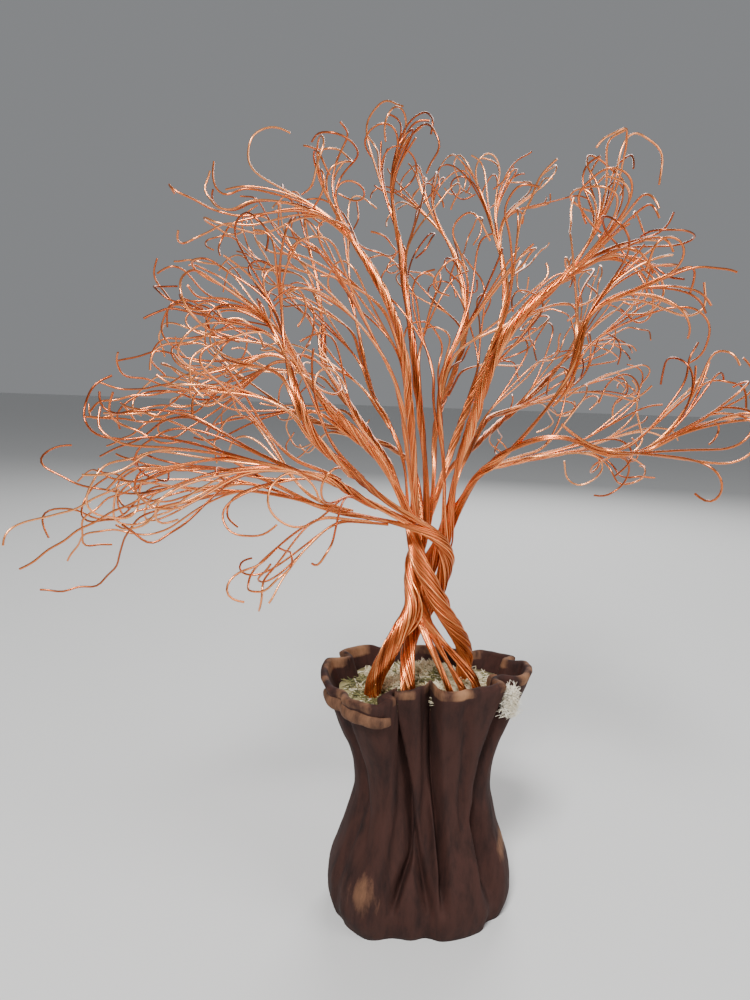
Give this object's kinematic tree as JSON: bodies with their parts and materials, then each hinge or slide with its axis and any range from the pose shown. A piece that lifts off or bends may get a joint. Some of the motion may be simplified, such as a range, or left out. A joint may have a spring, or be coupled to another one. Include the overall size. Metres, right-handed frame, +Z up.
{
  "type": "wire tree sculpture",
  "caption": "Small table sculpture of a bare tree twisted from copper wire, its roots planted in a pleated, hand-built clay pot dressed with moss",
  "frame": {"origin": "Middle of the foot of the pot, on the surface it stands on.", "axes": "+Z up the trunk, -Y to the front of the pot where the slab's folds meet, +X to the right seen from the front."},
  "size_m": [0.2046, 0.1473, 0.2536],
  "materials": {
    "clay": "matte unglazed",
    "plaster": "matte",
    "moss": "matte fibrous",
    "fibre": "matte fibrous",
    "copper": "bright, thin varnish"
  },
  "bodies": {
    "root": {"fibre_tuft": "fibre", "limb_back_centre": "copper", "limb_back_left": "copper", "limb_back_right": "copper", "limb_back_right_up": "copper", "limb_crown_centre": "copper", "limb_crown_left": "copper", "limb_crown_right": "copper", "limb_crown_up": "copper", "limb_left_back_rise": "copper", "limb_left_reach": "copper", "limb_left_rise": "copper", "limb_left_sweep": "copper", "limb_low_left": "copper", "limb_right_back": "copper", "limb_right_low": "copper", "limb_right_reach": "copper", "limb_right_reach_low": "copper", "limb_right_reach_up": "copper", "limb_thin_left": "copper", "limb_upper_left_thin": "copper", "moss_bed": "moss", "moss_tuft_back": "moss", "moss_tuft_centre": "moss", "moss_tuft_left": "moss", "pot_filler": "plaster", "pot_floor": "clay", "pot_wall": "clay", "right_roots": "copper", "rim_curl": "clay", "rim_hem": "clay", "strand_back": "copper", "strand_centre": "copper", "strand_left": "copper", "strand_right": "copper", "tips_back_left": "copper", "tips_back_right": "copper", "tips_crown": "copper", "tips_crown_back": "copper", "tips_crown_left": "copper", "tips_crown_right": "copper", "tips_left": "copper", "tips_left_front": "copper", "tips_low_left": "copper", "tips_low_right": "copper", "tips_right": "copper", "twigs_back_left": "copper", "twigs_back_right": "copper", "twigs_crown": "copper", "twigs_crown_back": "copper", "twigs_crown_left": "copper", "twigs_crown_right": "copper", "twigs_left": "copper", "twigs_left_front": "copper", "twigs_low_left": "copper", "twigs_low_right": "copper", "twigs_right": "copper"}
  },
  "joints": []
}
